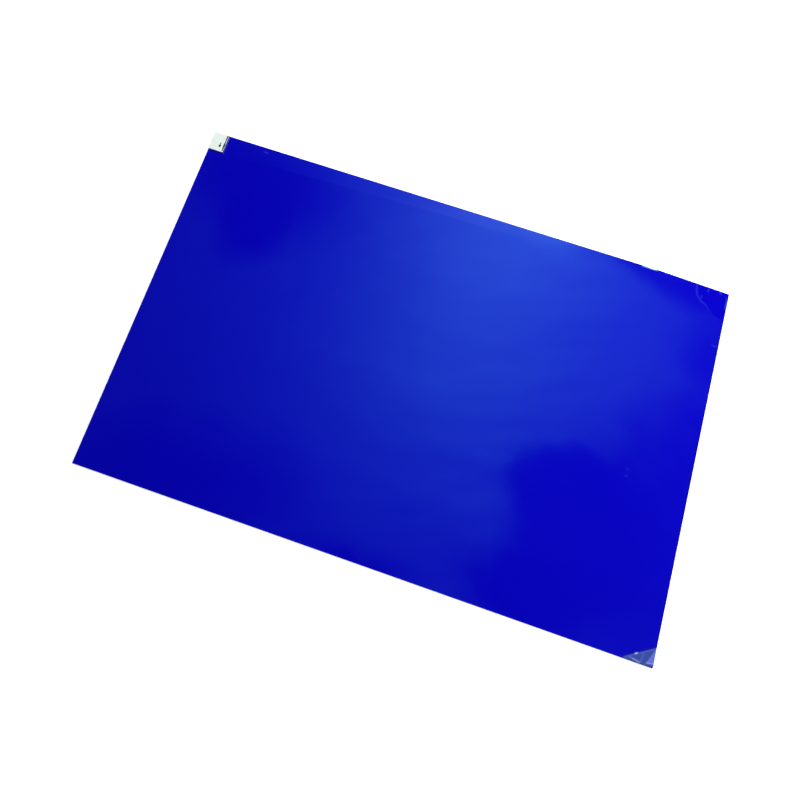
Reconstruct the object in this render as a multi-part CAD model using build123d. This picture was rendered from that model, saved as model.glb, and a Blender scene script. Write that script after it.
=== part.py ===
from build123d import *
import os

# A tacky floor mat for a cleanroom door: a pad of thin blue polyethylene sheets, each coated with
# adhesive on its upper face, with a white peel tab at one corner of every sheet. A clear film covers
# the top sheet, and a liner covers the adhesive that holds the pad to the floor.
# Millimetres. +X runs along the long edge, +Y along the short edge and +Z up. The origin is the
# centre of the liner's underside, where the mat lies on the floor.

# Pad
mat_length = 900.0
mat_width = 600.0
sheet_count = 30
film_thickness = 0.040
adhesive_coat = 0.010

# Liner under the pad and clear film over it
liner_thickness = 0.050
cover_thickness = 0.050

# Trim of the long edge at high Y. It runs in towards the corner of high X, and the blue sheets have a
# shallow nick where that begins.
run_in_length = 119.0
run_in = 4.0
nick_length = 28.0
nick_depth = 1.8
nick_deepest = 8.0

# Peel tabs, one on another at the corner of low X and high Y
tab_length = 25.5
tab_width = 33.0
tab_thickness = 0.030
drape_run = 2.5

# Loose corner of the cover film, at high X and low Y. It comes up a little along a crease that runs
# from edge to edge, and again along a second crease that ends where the first does on the short edge.
# Its very tip is folded up along a third crease. corner_lift is how high the tip would be unfolded.
crease_along_length = 46.0
crease_along_width = 27.5
second_crease_along_length = 13.0
second_crease_lift = 0.8
corner_lift = 2.0
tip_along_length = 9.8
tip_along_width = 6.0
tip_fold_angle = 45.0

# Worked out from the sizes above
half_length = mat_length / 2
half_width = mat_width / 2
sheet_pitch = film_thickness + adhesive_coat
first_sheet_z = liner_thickness + adhesive_coat
cover_z = first_sheet_z + sheet_count * sheet_pitch
tab_edge_x = -half_length + tab_length
tab_edge_y = half_width - tab_width
drape_edge_x = tab_edge_x + drape_run
drape_edge_y = tab_edge_y - drape_run
run_in_x = half_length - run_in_length
near_edge = [(-half_length, -half_width), (half_length, -half_width)]
trimmed_corner = [(half_length, half_width - run_in), (run_in_x, half_width)]
nick = [(run_in_x - nick_deepest, half_width - nick_depth), (run_in_x - nick_length, half_width)]


def sheet_z(number):
    """The underside of a sheet away from the tabs. Sheet 1 lies on the floor adhesive."""
    return first_sheet_z + (number - 1) * sheet_pitch


def tab_stack(number):
    """How thick a number of tabs are together, and so how far they lift a film that lies on them."""
    return number * tab_thickness


def facet(points, thickness):
    """One flat stretch of a film: the face through the points, as thick as asked straight up."""
    return extrude(Face(Wire.make_polygon(points, close=True)), amount=thickness, dir=(0, 0, 1))


def film(far_outline, z, rise, thickness):
    """A film over the whole mat at height z. Over the tab corner it stands up by rise, and it slopes
    down from there in drape_run. far_outline is its outline away from the tabs, anticlockwise from the
    corner of low X and low Y to the long edge at high Y."""
    top = z + rise
    over_tabs = [
        (-half_length, tab_edge_y, top),
        (tab_edge_x, tab_edge_y, top),
        (tab_edge_x, half_width, top),
        (-half_length, half_width, top),
    ]
    slope_along_x = [
        (tab_edge_x, tab_edge_y, top),
        (drape_edge_x, drape_edge_y, z),
        (drape_edge_x, half_width, z),
        (tab_edge_x, half_width, top),
    ]
    slope_along_y = [
        (-half_length, drape_edge_y, z),
        (drape_edge_x, drape_edge_y, z),
        (tab_edge_x, tab_edge_y, top),
        (-half_length, tab_edge_y, top),
    ]
    field = [(x, y, z) for x, y in far_outline]
    field += [
        (drape_edge_x, half_width, z),
        (drape_edge_x, drape_edge_y, z),
        (-half_length, drape_edge_y, z),
    ]
    body = facet(field, thickness)
    for points in (over_tabs, slope_along_x, slope_along_y):
        body += facet(points, thickness)
    return body


def adhesive_sheet(number):
    """One blue sheet. The space above it, as deep as the coat, is its layer of adhesive."""
    far_outline = near_edge + trimmed_corner + nick
    return film(far_outline, sheet_z(number), tab_stack(number - 1), film_thickness)


def peel_tab(number):
    """The label on a sheet's corner, flush with the sheet's two edges. It keeps the sheet above from
    sticking there, so that its corner can be picked up."""
    underside = sheet_z(number) + tab_stack(number - 1) + sheet_pitch
    centre = Vector(
        (-half_length + tab_edge_x) / 2,
        (half_width + tab_edge_y) / 2,
        underside + tab_thickness / 2,
    )
    return Location(centre) * Box(tab_length, tab_width, tab_thickness)


def between(start, end, length, whole):
    """The point that lies length of the whole way from start to end."""
    return start + (end - start) * (length / whole)


def cover_film():
    """The clear film, with its loose corner bent up along two creases and its tip folded up."""
    crease_start = Vector(half_length - crease_along_length, -half_width, cover_z)
    crease_end = Vector(half_length, -half_width + crease_along_width, cover_z)
    second_crease_x = half_length - second_crease_along_length
    second_crease_start = Vector(second_crease_x, -half_width, cover_z + second_crease_lift)
    flat_tip = Vector(half_length, -half_width, cover_z + corner_lift)
    fold_start = between(flat_tip, second_crease_start, tip_along_length, second_crease_along_length)
    fold_end = between(flat_tip, crease_end, tip_along_width, crease_along_width)
    hinge = Axis((0, 0, 0), fold_start - fold_end)
    folded_tip = fold_start + (flat_tip - fold_start).rotate(hinge, tip_fold_angle)

    far_outline = [
        (-half_length, -half_width),
        (crease_start.X, crease_start.Y),
        (crease_end.X, crease_end.Y),
    ]
    far_outline += trimmed_corner
    body = film(far_outline, cover_z, tab_stack(sheet_count), cover_thickness)
    body += facet([crease_start, second_crease_start, crease_end], cover_thickness)
    body += facet([second_crease_start, fold_start, fold_end, crease_end], cover_thickness)
    body += facet([fold_start, folded_tip, fold_end], cover_thickness)
    return body


def release_liner():
    """The liner that is peeled off before the mat is stuck down."""
    outline = near_edge + trimmed_corner + [(-half_length, half_width)]
    return facet([(x, y, 0) for x, y in outline], liner_thickness)


os.makedirs("parts", exist_ok=True)
numbers = range(1, sheet_count + 1)
nodes = {
    "release_liner": release_liner(),
    "adhesive_sheets": Compound([adhesive_sheet(n).solid() for n in numbers]),
    "number_tabs": Compound([peel_tab(n).solid() for n in numbers]),
    "cover_film": cover_film(),
}
for name, shape in nodes.items():
    export_step(shape, f"parts/{name}.step")
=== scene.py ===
import math

import bmesh
import bpy
from mathutils import Matrix, Vector


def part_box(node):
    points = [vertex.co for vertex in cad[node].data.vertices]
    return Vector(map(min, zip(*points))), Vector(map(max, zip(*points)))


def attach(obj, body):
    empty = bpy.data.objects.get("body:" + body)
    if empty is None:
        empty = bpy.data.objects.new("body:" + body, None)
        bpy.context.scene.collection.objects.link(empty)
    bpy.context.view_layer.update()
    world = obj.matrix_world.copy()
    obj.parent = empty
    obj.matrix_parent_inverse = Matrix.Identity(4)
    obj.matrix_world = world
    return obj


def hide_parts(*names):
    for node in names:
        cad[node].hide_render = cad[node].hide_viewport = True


# A pad of blue tacky film, 600 x 900 mm, that lies on the floor and is seen from above. Its sheets,
# tabs and liner stay as the frame has them and get their materials here. The cover film is drawn again
# with rounded creases, and the top tab gets its print. The frame is in metres. The cover film and the
# print are worked out in millimetres, in the same place.

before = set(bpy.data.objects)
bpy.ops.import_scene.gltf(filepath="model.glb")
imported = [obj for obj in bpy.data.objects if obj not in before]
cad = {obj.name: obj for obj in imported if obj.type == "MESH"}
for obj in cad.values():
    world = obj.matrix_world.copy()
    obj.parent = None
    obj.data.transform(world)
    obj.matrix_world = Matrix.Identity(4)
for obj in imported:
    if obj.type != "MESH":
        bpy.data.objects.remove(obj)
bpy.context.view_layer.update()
scene = bpy.context.scene

MM = 0.001
WHITE = (1, 1, 1, 1)


# Camera, at the photograph's viewing angle, in metres, degrees and pixels of the photograph

PHOTO_SIDE = 800
FOCAL_PIXELS = 700.0
SENSOR_WIDTH = 36.0
CAMERA_PLACE = Vector((-0.04985, -0.27605, 1.0772))
CAMERA_ELEVATION = 75.124
CAMERA_AZIMUTH = -16.411
CAMERA_ROLL = -2.452
PHOTO_SHIFT = (0.08217, -0.06297)
NEAREST_SEEN = 0.01


def make_camera():
    """A camera that looks down on the mat, with the photograph's lens and roll."""
    elevation = math.radians(CAMERA_ELEVATION)
    azimuth = math.radians(CAMERA_AZIMUTH)
    ahead = Vector((
        math.sin(azimuth) * math.cos(elevation),
        math.cos(azimuth) * math.cos(elevation),
        -math.sin(elevation),
    ))
    level_up = (Vector((0, 0, 1)) - ahead * ahead.z).normalized()
    up = Matrix.Rotation(math.radians(CAMERA_ROLL), 3, ahead) @ level_up
    right = ahead.cross(up)
    data = bpy.data.cameras.new("camera")
    data.lens = FOCAL_PIXELS / PHOTO_SIDE * SENSOR_WIDTH
    data.sensor_width = SENSOR_WIDTH
    data.shift_x, data.shift_y = PHOTO_SHIFT
    data.clip_start = NEAREST_SEEN
    camera = bpy.data.objects.new("camera", data)
    turn = Matrix((right, up, -ahead)).transposed().to_4x4()
    camera.matrix_world = Matrix.Translation(CAMERA_PLACE) @ turn
    scene.collection.objects.link(camera)
    scene.camera = camera


make_camera()


# Nodes of materials and of the world

def new_material(name):
    """A node material and its Principled shader."""
    material = bpy.data.materials.new(name)
    material.use_nodes = True
    return material, material.node_tree.nodes["Principled BSDF"]


def add_node(owner, kind, **values):
    """A new node in a material or world, with its settings and inputs from values."""
    node = owner.node_tree.nodes.new(kind)
    for name, value in values.items():
        if name in node.inputs:
            node.inputs[name].default_value = value
        else:
            setattr(node, name, value)
    return node


def join(owner, output, target):
    """Links the output of one node to an input of another."""
    owner.node_tree.links.new(output, target)


def calculate(owner, kind, operation, *values):
    """A node that does an operation on values, each of them the output of a node or plain."""
    node = add_node(owner, kind, operation=operation)
    for socket, value in zip(node.inputs, values):
        if isinstance(value, bpy.types.NodeSocket):
            join(owner, value, socket)
        else:
            socket.default_value = value
    return node


def combine(owner, operation, first, second):
    """One number from two."""
    return calculate(owner, "ShaderNodeMath", operation, first, second).outputs["Value"]


def with_vectors(owner, operation, *values):
    """A node that does an operation on places or colours."""
    return calculate(owner, "ShaderNodeVectorMath", operation, *values)


def scaled(owner, value, old, new, steps="SMOOTHSTEP"):
    """A value taken from the range old to the range new."""
    node = add_node(owner, "ShaderNodeMapRange", interpolation_type=steps)
    join(owner, value, node.inputs["Value"])
    for name, number in zip(("From Min", "From Max", "To Min", "To Max"), (*old, *new)):
        node.inputs[name].default_value = number
    return node.outputs["Result"]


def colour_ramp(owner, value, stops):
    """The colour for a value, from two stops of (value, colour)."""
    node = add_node(owner, "ShaderNodeValToRGB")
    for element, (position, colour) in zip(node.color_ramp.elements, stops):
        element.position = position
        element.color = colour
    join(owner, value, node.inputs["Fac"])
    return node.outputs["Color"]


def object_place(material):
    """Where a point is in the frame."""
    return add_node(material, "ShaderNodeTexCoord").outputs["Object"]


def mapped(material, place, centre=(0, 0), unit=(1, 1), turn=0.0):
    """A place as seen from a centre, in units along axes that are turned by turn degrees."""
    node = add_node(
        material, "ShaderNodeMapping", vector_type="TEXTURE", Location=(*centre, 0),
        Rotation=(0, 0, math.radians(turn)), Scale=(*unit, 1),
    )
    join(material, place, node.inputs["Vector"])
    return node.outputs["Vector"]


def noise_at(material, place, scale, detail=2.0, stretch=1.0, turn=0.0):
    """Noise of that many features a metre. They are drawn out by stretch, in a direction turned from
    +X by turn degrees."""
    texture = add_node(material, "ShaderNodeTexNoise", Scale=scale, Detail=detail)
    stretched = mapped(material, place, unit=(1, 1 / stretch), turn=turn)
    join(material, stretched, texture.inputs["Vector"])
    return texture


# Blue film

BLUE = (0.0016, 0.0001, 0.378, 1)
SHEEN = (0.060, 0.30, 0.50, 1)
ROUGH_FILM = 0.42
SMOOTH_FILM = 0.18
WET_FILM = 0.16

# Wide shallow waves in it
WISP_SCALE = 3.5
WISP_STRETCH = 2.5
WISP_TURN = 20.0
WISP_DEPTH = 0.003

# Where the cover film has wetted onto the adhesive and the surface is smooth: centre, half sizes and
# turn, in metres and degrees. A patch fades out over PATCH_SPREAD times its half sizes, and patches
# that meet run together. PATCH_LIMITS are the sums that count as none and as all.
SMOOTH_PATCHES = [
    ((-0.345, 0.230), (0.105, 0.050), -5),
    ((-0.330, 0.150), (0.035, 0.035), 0),
    ((0.245, -0.080), (0.055, 0.030), 0),
    ((0.300, -0.150), (0.060, 0.060), 0),
    ((0.430, -0.190), (0.120, 0.140), -10),
    ((0.225, -0.270), (0.055, 0.035), 0),
    ((0.485, 0.110), (0.070, 0.150), 0),
    ((0.290, 0.300), (0.110, 0.024), -2),
    ((-0.300, -0.270), (0.130, 0.055), 18),
    ((-0.010, -0.295), (0.060, 0.018), 0),
]
PATCH_SPREAD = 2.3
PATCH_LIMITS = (-0.1, 1.1)

# Noise that shifts the patches' edges by up to about half of CLOUD_DRIFT and frays them
CLOUD_SCALE = 5.0
CLOUD_DETAIL = 4.0
CLOUD_DRIFT = 0.12
CLOUD_RAGS = 0.55
NOISE_MIDDLE = 0.5

# The round patch at the corner of high X and high Y, which has wetted most
CORNER_PATCH = (0.455, 0.303)
CORNER_RADIUS = 0.0555


def smooth_patches(material, place):
    """1 inside the smooth patches and 0 outside them, with soft ragged edges."""
    cloud = noise_at(material, place, CLOUD_SCALE, CLOUD_DETAIL)
    centred = with_vectors(material, "SUBTRACT", cloud.outputs["Color"], (NOISE_MIDDLE,) * 3)
    reach = (CLOUD_DRIFT, CLOUD_DRIFT, 0)
    drift = with_vectors(material, "MULTIPLY_ADD", centred.outputs["Vector"], reach, place)
    rags = combine(material, "SUBTRACT", cloud.outputs["Fac"], NOISE_MIDDLE)
    total = combine(material, "MULTIPLY", rags, CLOUD_RAGS)
    for centre, half, turn in SMOOTH_PATCHES:
        from_centre = mapped(material, drift.outputs["Vector"], centre, half, turn)
        distance = with_vectors(material, "LENGTH", from_centre).outputs["Value"]
        patch = scaled(material, distance, (0, PATCH_SPREAD), (1, 0), "LINEAR")
        total = combine(material, "ADD", total, patch)
    return scaled(material, total, PATCH_LIMITS, (0, 1))


def blue_film():
    """Deep blue tacky film with a soft sheen, clouded where the cover film has wetted onto it."""
    material, shader = new_material("blue_film")
    shader.inputs["Base Color"].default_value = BLUE
    shader.inputs["Specular Tint"].default_value = SHEEN
    place = object_place(material)
    patches = smooth_patches(material, place)
    roughness = scaled(material, patches, (0, 1), (ROUGH_FILM, SMOOTH_FILM), "LINEAR")
    distance = with_vectors(material, "DISTANCE", place, (*CORNER_PATCH, 0)).outputs["Value"]
    rim = (CORNER_RADIUS - MM, CORNER_RADIUS + MM)
    corner = scaled(material, distance, rim, (WET_FILM, ROUGH_FILM))
    join(material, combine(material, "MINIMUM", roughness, corner), shader.inputs["Roughness"])
    wisps = noise_at(material, place, WISP_SCALE, stretch=WISP_STRETCH, turn=WISP_TURN)
    bump = add_node(material, "ShaderNodeBump", Distance=WISP_DEPTH)
    join(material, wisps.outputs["Fac"], bump.inputs["Height"])
    join(material, bump.outputs["Normal"], shader.inputs["Normal"])
    return material


# White tabs and their print

TAB_ROUGHNESS = 0.4
TAB_MOTTLE_SCALE = 120.0
TAB_SHADES = ((0.3, (0.71, 0.79, 0.75, 1)), (0.7, (0.76, 0.84, 0.79, 1)))
INK = (0.004, 0.008, 0.008, 1)
INK_ROUGHNESS = 0.5
INK_SPECULAR = 0.2


def white_tab():
    """Greenish white label film, a little uneven."""
    material, shader = new_material("white_tab")
    shader.inputs["Roughness"].default_value = TAB_ROUGHNESS
    mottle = noise_at(material, object_place(material), TAB_MOTTLE_SCALE)
    shade = colour_ramp(material, mottle.outputs["Fac"], TAB_SHADES)
    join(material, shade, shader.inputs["Base Color"])
    return material


def tab_ink():
    """Black ink, nearly without gloss."""
    material, shader = new_material("tab_ink")
    shader.inputs["Base Color"].default_value = INK
    shader.inputs["Roughness"].default_value = INK_ROUGHNESS
    shader.inputs["Specular IOR Level"].default_value = INK_SPECULAR
    return material


# Clear films

CLEAR_ROUGHNESS = 0.35
VEIL = "veil"
MILK = (0.35, 0.45, 0.75, 1)
MILK_SCALE = 7.0
MILK_DETAIL = 3.0
MILK_NOISE = (0.3, 0.7)
MILK_AMOUNT = (0.02, 0.10)


def cover_film_material():
    """Clear film. Its veil is pale where air lies under it, holds painted highlights and shade, and is
    nothing where it has wetted.
    """
    material, shader = new_material("cover_film")
    shader.inputs["Roughness"].default_value = CLEAR_ROUGHNESS
    veil = add_node(material, "ShaderNodeVertexColor", layer_name=VEIL)
    join(material, veil.outputs["Color"], shader.inputs["Base Color"])
    join(material, veil.outputs["Alpha"], shader.inputs["Alpha"])
    return material


def liner_film():
    """Clear liner, a little milky over the floor adhesive."""
    material, shader = new_material("liner_film")
    shader.inputs["Base Color"].default_value = MILK
    shader.inputs["Roughness"].default_value = CLEAR_ROUGHNESS
    cloud = noise_at(material, object_place(material), MILK_SCALE, MILK_DETAIL)
    amount = scaled(material, cloud.outputs["Fac"], MILK_NOISE, MILK_AMOUNT)
    join(material, amount, shader.inputs["Alpha"])
    return material


def set_material(node, material):
    """Gives a CAD node a material in place of its plain one."""
    for slot in cad[node].material_slots:
        slot.material = material


set_material("adhesive_sheets", blue_film())
set_material("number_tabs", white_tab())
set_material("release_liner", liner_film())


# Cover film, in millimetres

def box_mm(node):
    """A CAD node's lowest and highest corners, in millimetres."""
    return tuple(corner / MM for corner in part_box(node))


film_low, film_high = box_mm("cover_film")
tab_low, tab_high = box_mm("number_tabs")

# From the blue sheets: how high the pad is away from the tabs, and how far the long edge of high Y has
# run in at the corner of high X. A point this near to the short edge lies on it.
ON_EDGE = 0.01
sheet_points = [vertex.co / MM for vertex in cad["adhesive_sheets"].data.vertices]
pad_top = max(point.z for point in sheet_points if point.x > 0)
corner_y = max(point.y for point in sheet_points if point.x > film_high.x - ON_EDGE)

# The film lies on the top sheet's adhesive, and comes down from the tabs as a tent
FILM_THICKNESS = 0.05
ADHESIVE_COAT = 0.01
TENT_RUN = 4.0
TENT_SPARE = 0.02
film_rest = pad_top + ADHESIVE_COAT
tent_height = tab_high.z + TENT_SPARE - film_rest

# The long edge of high Y: the blue sheets have a nick from the first place to the second, and the edge
# runs in from there to the corner
NICK_X = 303.0
RUN_IN_X = 331.0

# Loose corner at high X and low Y: a crease from edge to edge, a second one that ends where the first
# does, and a fold that rolls the very tip back. The lifts are those of the second crease and the tip.
TIP = Vector((film_high.x, film_low.y))
CREASE_START = Vector((film_high.x - 46.5, film_low.y))
CREASE_END = Vector((film_high.x, film_low.y + 28.8))
SECOND_CREASE_START = Vector((film_high.x - 13.0, film_low.y))
SECOND_CREASE_LIFT = 0.8
TIP_LIFT = 1.4
FOLD_START = Vector((film_high.x - 9.8, film_low.y))
FOLD_END = Vector((film_high.x, film_low.y + 6.0))
FOLD_RADIUS = 1.6

# Mesh of the film. Its rows beyond FAR_ROWS_Y bend to follow the long edge of high Y. Then come the
# places of close rows and columns: how far they reach from the tab's side onto the tab and off it,
# from the sides of high X, low Y and high Y, and from where to where for marks that lie by themselves.
FAR_ROWS_Y = 220.0
ON_TAB = 2.0
OFF_TAB = 8.0
HIGH_X_REACH = 60.0
LOW_Y_REACH = 34.0
HIGH_Y_REACH = 4.0
STREAK_COLUMNS = (-362.0, -346.0)
SPOT_ROWS = (-52.0, -29.0)
ARC_ROWS = (196.0, 208.0)

# The steps from one row or column to the next
PLAIN_STEP = 12.0
TAB_STEP = 6.0
RUN_IN_STEP = 2.0
FAR_STEP = 1.5
MARK_STEP = 1.2
CORNER_STEP = 0.8
BEND_STEP = 0.5

# A ridge that the film has kept round the corner of high X and high Y. It fades over the last part of
# its length, and nothing of it lies short of RIDGE_AREA. RIDGE_AIR is how pale it is.
RIDGE = [
    (396.6, 300.0), (397.0, 291.0), (398.0, 285.0), (400.8, 276.8),
    (409.0, 269.2), (417.4, 265.2), (424.0, 257.6), (434.0, 253.0),
]
RIDGE_HEIGHT = 0.25
RIDGE_WIDTH = 1.2
RIDGE_FADE = (0.6, 1.0)
RIDGE_AREA = (380.0, FAR_ROWS_Y)
RIDGE_AIR = 0.07

# Veil colours: air under the film, and painted highlights and shade
AIR_AND_REFLECTION_GREY = (0.072, 0.145, 0.33)
PALE_LILAC = (0.25, 0.31, 1.0)
AIR_AND_HIGHLIGHT_BLUE = (0.10, 0.20, 1.0)
BAND_BLUE = (0.0, 0.05, 1.0)
HIGHLIGHT_PALE = (0.45, 0.60, 0.95)
AIR_WHITE = (0.62, 0.72, 0.74)
AIR_CYAN = (0.12, 0.43, 0.69)
PAINTED_SHADE_BLUE = (0.002, 0.003, 0.24)
SHADE = (0.0, 0.0, 0.10)
NO_VEIL = (*AIR_AND_HIGHLIGHT_BLUE, 0.0)

# A band along the edge of high Y, where a little air has stayed: its lower side, the places along X
# where it fades in and out, its amount, the distances inside the lower side over which it comes in,
# and a paler line with its amount, its distance inside that side and its half width
BAND_SIDE = (Vector((-422.0, 268.0)), Vector((150.0, 284.0)))
BAND_START = (-430.0, -180.0)
BAND_END = (-60.0, 180.0)
BAND_AIR = 0.045
BAND_EDGE = (-1.0, 3.0)
LINE_AIR = 0.03
LINE_INSIDE = 1.5
LINE_HALF_WIDTH = 1.5

# The shade in the tent round the tab, and the white strip along the tab's inner side. Each has its
# amount and the distances from the tab over which it comes in or goes out.
TENT_SHADE = 0.55
TENT_SHADE_IN = (0.2, 0.8)
TENT_SHADE_OUT = (1.6, 3.2)
TAB_STRIP = 0.7
TAB_STRIP_OUT = (0.0, 0.6)

# Veils of the loose corner: the line that each lies beyond, the distances beyond it over which it comes
# in, its amount and its colour. The first is air under the corner, its paleness partly painted
# reflection, the second is painted light on the facet beyond the second crease, and the fold's veil is
# painted shade. They are worked out from CORNER_MARGIN short of the first crease on.
FLAP_VEILS = [
    # Air under the lifted corner, its paleness partly painted reflection
    ((CREASE_START, CREASE_END), (-0.4, 0.4), 0.38, AIR_AND_REFLECTION_GREY),
    # Painted light: the facet beyond the second crease made paler, as it tilts toward the light
    ((SECOND_CREASE_START, CREASE_END), (-0.6, 0.6), 0.35, PALE_LILAC),
]
FOLD_SHADE_VEILS = [
    # Painted shade on the rolled tip
    ((FOLD_START, FOLD_END), (1.0, 2.0), 0.85, PAINTED_SHADE_BLUE),
]
CORNER_MARGIN = 1.0

# The sliver of film over the nick, which has no blue film under it: its amount and its depth
SLIVER = 0.4
SLIVER_DEPTH = 3.0

# Lines and spots in the veil: start, end, half width, amount and colour. At the two corners the pale
# ones are painted highlights and the dark ones painted shade. Those of the loose corner come first,
# then those of the corner of high X and high Y, and then a few by themselves. Each lies beyond MARKS_X
# or beyond
# MARKS_Y.
MARKS_X = 340.0
MARKS_Y = 285.0
MARKS = [
    # Loose corner: painted shade just above the first crease
    ((403.0, -298.2), (449.5, -269.8), 0.7, 0.40, SHADE),
    # Painted highlights: a band along the first crease, a diagonal band and a streak near the near edge
    ((408.0, -297.4), (449.5, -272.6), 0.9, 0.15, PALE_LILAC),
    ((433.5, -285.0), (431.5, -296.0), 1.6, 0.12, PALE_LILAC),
    ((415.0, -295.2), (420.5, -296.0), 1.2, 0.25, PALE_LILAC),
    ((420.5, -296.0), (430.0, -297.6), 0.9, 0.40, HIGHLIGHT_PALE),
    # Painted shade along the near edge
    ((414.0, -299.6), (436.0, -299.6), 0.7, 0.30, PAINTED_SHADE_BLUE),
    # Painted highlight where the first crease is pinched
    ((422.0, -288.2), (424.8, -286.6), 0.8, 0.95, HIGHLIGHT_PALE),
    # Painted highlight on the roll of the fold
    ((439.5, -295.4), (448.0, -293.6), 0.7, 0.40, HIGHLIGHT_PALE),
    # Painted shade at the tip, under the roll
    ((439.5, -298.4), (450.0, -296.2), 1.5, 0.90, PAINTED_SHADE_BLUE),
    # Painted highlight along the lifted side of high X
    ((449.6, -276.0), (449.6, -292.0), 0.6, 0.30, AIR_AND_HIGHLIGHT_BLUE),
    # Corner of high X and high Y: painted highlights, as spots and as a streak along the side of high X
    ((416.2, 293.5), (416.6, 290.0), 0.9, 0.16, AIR_AND_HIGHLIGHT_BLUE),
    ((435.0, 293.2), (437.8, 291.6), 0.8, 0.14, AIR_AND_HIGHLIGHT_BLUE),
    ((407.3, 278.4), (408.2, 276.0), 0.9, 0.10, AIR_AND_HIGHLIGHT_BLUE),
    ((447.4, 289.0), (447.9, 281.0), 0.6, 0.16, AIR_AND_HIGHLIGHT_BLUE),
    ((448.1, 281.0), (447.8, 270.0), 0.6, 0.30, AIR_AND_HIGHLIGHT_BLUE),
    ((-357.5, 292.0), (-350.5, 290.6), 0.9, 0.10, PALE_LILAC),
    ((354.0, -35.0), (354.4, -35.0), 1.2, 0.04, PALE_LILAC),
    ((354.0, -46.0), (354.4, -46.0), 1.2, 0.05, PALE_LILAC),
    ((439.0, 202.5), (442.5, 200.4), 0.9, 0.06, AIR_AND_HIGHLIGHT_BLUE),
    ((442.5, 200.4), (447.5, 201.6), 0.9, 0.08, AIR_AND_HIGHLIGHT_BLUE),
]


def smooth(value, low, high):
    """0 below low, 1 above high and a soft step between."""
    share = min(max((value - low) / (high - low), 0.0), 1.0)
    return share * share * (3 - 2 * share)


def bell(value, width):
    """1 at 0, and next to nothing from about twice the width on."""
    return math.exp(-((value / width) ** 2))


def to_the_right(start, end):
    """The direction to the right of a line."""
    along = (end - start).normalized()
    return Vector((along.y, -along.x))


def beyond(point, start, end):
    """How far a point lies beyond a line, to the right of it."""
    return (point - start).dot(to_the_right(start, end))


def along_line(point, line):
    """How far a point is from a line, and how far along it, from 0 to 1."""
    nearest, share = math.inf, 0.0
    count = len(line) - 1
    for index in range(count):
        start, end = Vector(line[index]), Vector(line[index + 1])
        run = end - start
        part = min(max((point - start).dot(run) / run.length_squared, 0.0), 1.0)
        gap = (point - start - run * part).length
        if gap < nearest:
            nearest, share = gap, (index + part) / count
    return nearest, share


def edge_y(x):
    """The place of the long edge of high Y."""
    share = max(x - RUN_IN_X, 0) / (film_high.x - RUN_IN_X)
    return film_high.y - share * (film_high.y - corner_y)


def tab_reach(x, y):
    """How far a point lies outside the tab, along each side."""
    return max(x - tab_high.x, 0.0), max(tab_low.y - y, 0.0)


def tent(x, y):
    """The film stands on the tabs, and comes down beside them."""
    return tent_height * max(1 - math.hypot(*tab_reach(x, y)) / TENT_RUN, 0.0)


def flap_lift(point):
    """The height of the loose corner above the mat, as two flat facets."""
    first = beyond(point, CREASE_START, CREASE_END)
    if first <= 0:
        return 0.0
    slope = SECOND_CREASE_LIFT / beyond(SECOND_CREASE_START, CREASE_START, CREASE_END)
    lift = first * slope
    second = beyond(point, SECOND_CREASE_START, CREASE_END)
    if second > 0:
        extra = TIP_LIFT - beyond(TIP, CREASE_START, CREASE_END) * slope
        lift += second / beyond(TIP, SECOND_CREASE_START, CREASE_END) * extra
    return lift


def ridge(x, y):
    """How much of the ridge there is at a point, with 1 at its top."""
    if x <= RIDGE_AREA[0] or y <= RIDGE_AREA[1]:
        return 0.0
    gap, share = along_line(Vector((x, y)), RIDGE)
    return bell(gap, RIDGE_WIDTH) * (1 - smooth(share, *RIDGE_FADE))


def film_height(x, y):
    """The film's underside."""
    return film_rest + tent(x, y) + flap_lift(Vector((x, y))) + RIDGE_HEIGHT * ridge(x, y)


def fold_tip(x, y, z):
    """Rolls the very tip up and back about its fold."""
    past = beyond(Vector((x, y)), FOLD_START, FOLD_END)
    if past <= 0:
        return Vector((x, y, z))
    angle = past / FOLD_RADIUS
    inward = to_the_right(FOLD_START, FOLD_END) * (FOLD_RADIUS * math.sin(angle) - past)
    return Vector((x + inward.x, y + inward.y, z + FOLD_RADIUS * (1 - math.cos(angle))))


def over(veil, amount, colour):
    """Lays one more veil over what a point has."""
    amount = min(max(amount, 0.0), 1.0)
    total = veil[3] + (1 - veil[3]) * amount
    if total <= 0:
        return veil
    share = amount / total
    return tuple(old + (new - old) * share for old, new in zip(veil[:3], colour)) + (total,)


def lay_band(veil, point):
    """The band of air along the edge of high Y."""
    inside = -beyond(point, *BAND_SIDE)
    strength = smooth(point.x, *BAND_START) * (1 - smooth(point.x, *BAND_END))
    air = BAND_AIR * smooth(inside, *BAND_EDGE) + LINE_AIR * bell(inside - LINE_INSIDE, LINE_HALF_WIDTH)
    return over(veil, air * strength, BAND_BLUE)


def lay_beside_tab(veil, x, y):
    """The shade in the tent, and the white strip along the tab's inner side."""
    beside, below = tab_reach(x, y)
    distance = max(beside, below)
    if distance > 0:
        shade = smooth(distance, *TENT_SHADE_IN) * (1 - smooth(distance, *TENT_SHADE_OUT))
        veil = over(veil, TENT_SHADE * shade, SHADE)
    if below == 0 and beside > 0:
        veil = over(veil, TAB_STRIP * (1 - smooth(beside, *TAB_STRIP_OUT)), AIR_WHITE)
    return veil


def lay_beyond_lines(veil, point, layers):
    """Veils that each lie beyond a line."""
    for line, edge, amount, colour in layers:
        veil = over(veil, amount * smooth(beyond(point, *line), *edge), colour)
    return veil


def lay_marks(veil, point):
    """The lines and spots, most of them painted highlights and painted shade."""
    for start, end, width, amount, colour in MARKS:
        gap = along_line(point, (start, end))[0]
        veil = over(veil, amount * bell(gap, width), colour)
    return veil


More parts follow.
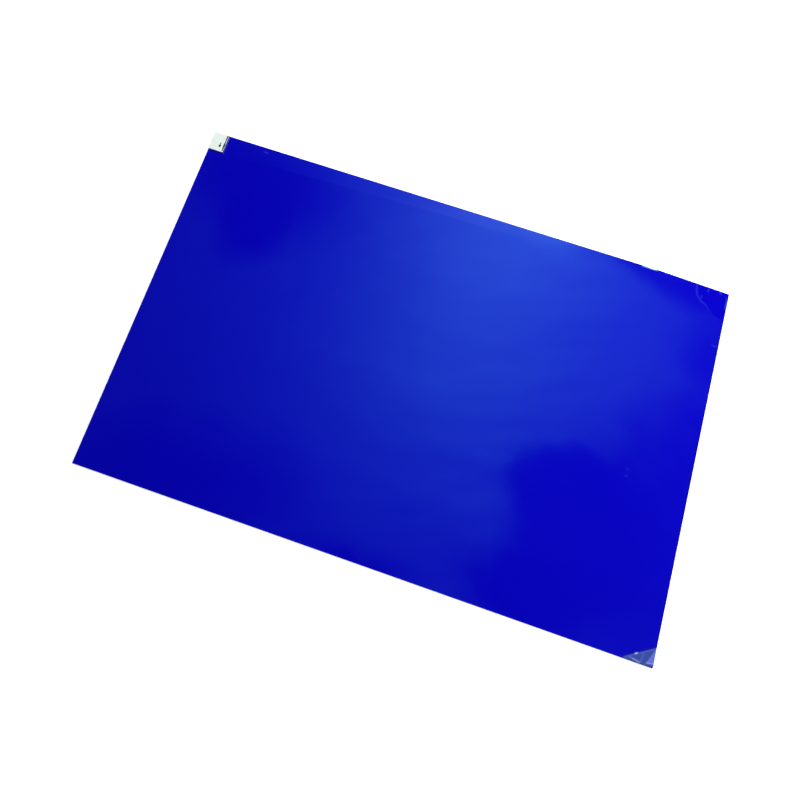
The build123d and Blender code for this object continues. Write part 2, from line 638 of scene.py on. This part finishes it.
def film_veil(x, y):
    """The colour of the veil at a point, and how much of it there is."""
    point = Vector((x, y))
    near_flap = beyond(point, CREASE_START, CREASE_END) > -CORNER_MARGIN
    veil = NO_VEIL
    if x > tab_high.x:
        veil = lay_band(veil, point)
    veil = lay_beside_tab(veil, x, y)
    veil = over(veil, RIDGE_AIR * ridge(x, y), AIR_AND_HIGHLIGHT_BLUE)
    if near_flap:
        veil = lay_beyond_lines(veil, point, FLAP_VEILS)
    if x > MARKS_X or y > MARKS_Y:
        veil = lay_marks(veil, point)
    if near_flap:
        veil = lay_beyond_lines(veil, point, FOLD_SHADE_VEILS)
    if NICK_X < x < RUN_IN_X and y > edge_y(x) - SLIVER_DEPTH:
        veil = over(veil, SLIVER, AIR_CYAN)
    return veil


def places(start, *stretches):
    """Places along one side of the film, from its start on, in stretches of (end, step)."""
    found = []
    for end, step in stretches:
        count = max(round((end - start) / step), 1)
        found += [start + (end - start) * i / count for i in range(count)]
        start = end
    return found + [start]


def film_columns():
    """Where the film's columns are along X. They are close where it bends or is marked."""
    return places(
        film_low.x,
        (tab_high.x - ON_TAB, TAB_STEP),
        (tab_high.x + OFF_TAB, BEND_STEP),
        (STREAK_COLUMNS[0], PLAIN_STEP),
        (STREAK_COLUMNS[1], MARK_STEP),
        (NICK_X, PLAIN_STEP),
        (RUN_IN_X, FAR_STEP),
        (film_high.x - HIGH_X_REACH, RUN_IN_STEP),
        (film_high.x, CORNER_STEP),
    )


def film_rows():
    """Where the film's rows are along Y. They are close where it bends or is marked."""
    return places(
        film_low.y,
        (film_low.y + LOW_Y_REACH, CORNER_STEP),
        (SPOT_ROWS[0], PLAIN_STEP),
        (SPOT_ROWS[1], MARK_STEP),
        (ARC_ROWS[0], PLAIN_STEP),
        (ARC_ROWS[1], MARK_STEP),
        (FAR_ROWS_Y, PLAIN_STEP),
        (tab_low.y - OFF_TAB, FAR_STEP),
        (tab_low.y + ON_TAB, BEND_STEP),
        (film_high.y - HIGH_Y_REACH, FAR_STEP),
        (film_high.y, BEND_STEP),
    )


def film_points(columns, rows):
    """The film's points, row by row, with the colours of their veil: the underside, then the top.
    Light meets the veil on both, so each has only part of it."""
    underside, colours = [], []
    for row in rows:
        share = max(row - FAR_ROWS_Y, 0) / (film_high.y - FAR_ROWS_Y)
        for x in columns:
            y = row - share * (film_high.y - edge_y(x))
            underside.append((x, y, film_height(x, y)))
            red, green, blue, amount = film_veil(x, y)
            colours.append((red, green, blue, 1 - math.sqrt(1 - amount)))
    points = []
    for thickness in (0.0, FILM_THICKNESS):
        points += [fold_tip(x, y, z + thickness) * MM for x, y, z in underside]
    return points, colours * 2


def film_faces(wide, deep):
    """The faces of a sheet of wide by deep points: those of the underside and the top, and its rim."""
    layer = wide * deep
    flat = []
    for row in range(deep - 1):
        for column in range(wide - 1):
            a = row * wide + column
            b, c, d = a + 1, a + wide + 1, a + wide
            flat.append((a, d, c, b))
            flat.append((a + layer, b + layer, c + layer, d + layer))
    border = [
        *range(wide),
        *range(2 * wide - 1, layer, wide),
        *range(layer - 2, layer - wide - 1, -1),
        *range(layer - 2 * wide, -1, -wide),
    ]
    rim = [(a, b, b + layer, a + layer) for a, b in zip(border, border[1:])]
    return flat, rim


def make_cover_film():
    """The cover film as one closed sheet, with its veil as colours of its points."""
    columns, rows = film_columns(), film_rows()
    points, colours = film_points(columns, rows)
    flat, rim = film_faces(len(columns), len(rows))
    mesh = bpy.data.meshes.new("cover_film")
    mesh.from_pydata(points, [], flat + rim)
    veil = mesh.color_attributes.new(VEIL, "FLOAT_COLOR", "POINT")
    for item, colour in zip(veil.data, colours):
        item.color = colour
    for polygon in mesh.polygons:
        polygon.use_smooth = polygon.index < len(flat)
    mesh.materials.append(cover_film_material())
    film = bpy.data.objects.new("clear_cover_film", mesh)
    scene.collection.objects.link(film)
    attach(film, "root")
    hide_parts("cover_film")


make_cover_film()


# Print on the top tab, in millimetres: an arrow, as a tip and the width and length of its head and of
# its shaft, and an uneven line, as its place, the gaps at its near and far ends and its widths

INK_THICKNESS = 0.008
ARROW_TIP = (-433.4, 273.4)
ARROW_HEAD = (5.4, 5.2)
ARROW_SHAFT = (1.6, 5.0)
LINE_X = -426.3
LINE_GAPS = (2.0, 0.5)
LINE_WIDTHS = [1.7, 1.8, 2.4, 3.0, 2.6, 1.9, 1.7, 2.2, 2.4, 1.9]


def ink(name, outline, material):
    """A flat print on the top tab, from its outline."""
    build = bmesh.new()
    low = [build.verts.new(Vector((x, y, tab_high.z)) * MM) for x, y in outline]
    face = build.faces.new(low)
    raised = bmesh.ops.extrude_face_region(build, geom=[face])["geom"]
    moved = [item for item in raised if isinstance(item, bmesh.types.BMVert)]
    bmesh.ops.translate(build, verts=moved, vec=(0, 0, INK_THICKNESS * MM))
    bmesh.ops.recalc_face_normals(build, faces=build.faces)
    mesh = bpy.data.meshes.new(name)
    build.to_mesh(mesh)
    build.free()
    mesh.materials.append(material)
    piece = bpy.data.objects.new(name, mesh)
    scene.collection.objects.link(piece)
    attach(piece, "root")


def arrow_outline():
    """An arrow that points to the near side of the tab, where it is lifted."""
    x, tip = ARROW_TIP
    neck = tip + ARROW_HEAD[1]
    end = neck + ARROW_SHAFT[1]
    half_head, half_shaft = ARROW_HEAD[0] / 2, ARROW_SHAFT[0] / 2
    return [
        (x, tip), (x + half_head, neck), (x + half_shaft, neck), (x + half_shaft, end),
        (x - half_shaft, end), (x - half_shaft, neck), (x - half_head, neck),
    ]


def edge_line_outline():
    """An uneven line along the tab's inner side."""
    start, end = tab_low.y + LINE_GAPS[0], tab_high.y - LINE_GAPS[1]
    count = len(LINE_WIDTHS) - 1
    right, left = [], []
    for index, width in enumerate(LINE_WIDTHS):
        y = start + (end - start) * index / count
        right.append((LINE_X + width / 2, y))
        left.append((LINE_X - width / 2, y))
    return right + left[::-1]


ink_material = tab_ink()
ink("tab_arrow", arrow_outline(), ink_material)
ink("tab_edge_line", edge_line_outline(), ink_material)


# Floor, world and lamps, in metres. The world's shades go by how high a direction points.

FLOOR_HALF_SIDE = 6.0
FLOOR_DROP = 0.0002
FLOOR_COLOUR = (0.85, 0.85, 0.85, 1)
FLOOR_ROUGHNESS = 0.9
FLOOR_GLOW = 0.5
WORLD_SHADES = ((0.25, WHITE), (0.65, (0.06, 0.06, 0.06, 1)))


def make_floor():
    """A floor that is white to look at, also as a reflection, and keeps the mat's shadow."""
    half = FLOOR_HALF_SIDE
    corners = [(-half, -half, 0), (half, -half, 0), (half, half, 0), (-half, half, 0)]
    mesh = bpy.data.meshes.new("floor")
    mesh.from_pydata(corners, [], [(0, 1, 2, 3)])
    floor = bpy.data.objects.new("floor", mesh)
    floor.location.z = -FLOOR_DROP
    scene.collection.objects.link(floor)
    material, shader = new_material("floor")
    shader.inputs["Base Color"].default_value = FLOOR_COLOUR
    shader.inputs["Roughness"].default_value = FLOOR_ROUGHNESS
    shader.inputs["Specular IOR Level"].default_value = 0.0
    rays = add_node(material, "ShaderNodeLightPath")
    seen = combine(material, "ADD", rays.outputs["Is Camera Ray"], rays.outputs["Is Glossy Ray"])
    glow = combine(material, "MULTIPLY", seen, FLOOR_GLOW)
    shader.inputs["Emission Color"].default_value = WHITE
    join(material, glow, shader.inputs["Emission Strength"])
    mesh.materials.append(material)


def make_world():
    """A studio that is white at the horizon and dark overhead."""
    world = bpy.data.worlds.new("studio")
    world.use_nodes = True
    direction = add_node(world, "ShaderNodeTexCoord").outputs["Generated"]
    split = add_node(world, "ShaderNodeSeparateXYZ")
    join(world, direction, split.inputs["Vector"])
    shade = colour_ramp(world, split.outputs["Z"], WORLD_SHADES)
    join(world, shade, world.node_tree.nodes["Background"].inputs["Color"])
    scene.world = world


def lamp(name, place, target, size, power):
    """A softbox at place that faces target. size is its two sides, the second along +Y or up."""
    data = bpy.data.lights.new(name, "AREA")
    data.shape = "RECTANGLE"
    data.size, data.size_y = size
    data.energy = power
    light = bpy.data.objects.new(name, data)
    ahead = Vector(target) - Vector(place)
    light.rotation_euler = ahead.to_track_quat("-Z", "Y").to_euler()
    light.location = place
    scene.collection.objects.link(light)


make_floor()
make_world()
lamp("glow", (0.27, 1.15, 1.35), (0.1, 0.1, 0), (0.4, 0.6), 16)
lamp("glow_near", (0.22, 0.45, 1.35), (0.1, 0.0, 0), (0.3, 0.5), 5.5)
lamp("right", (2.2, 0.3, 1.1), (0, 0, 0), (0.9, 0.9), 62)

scene.view_settings.view_transform = "Standard"
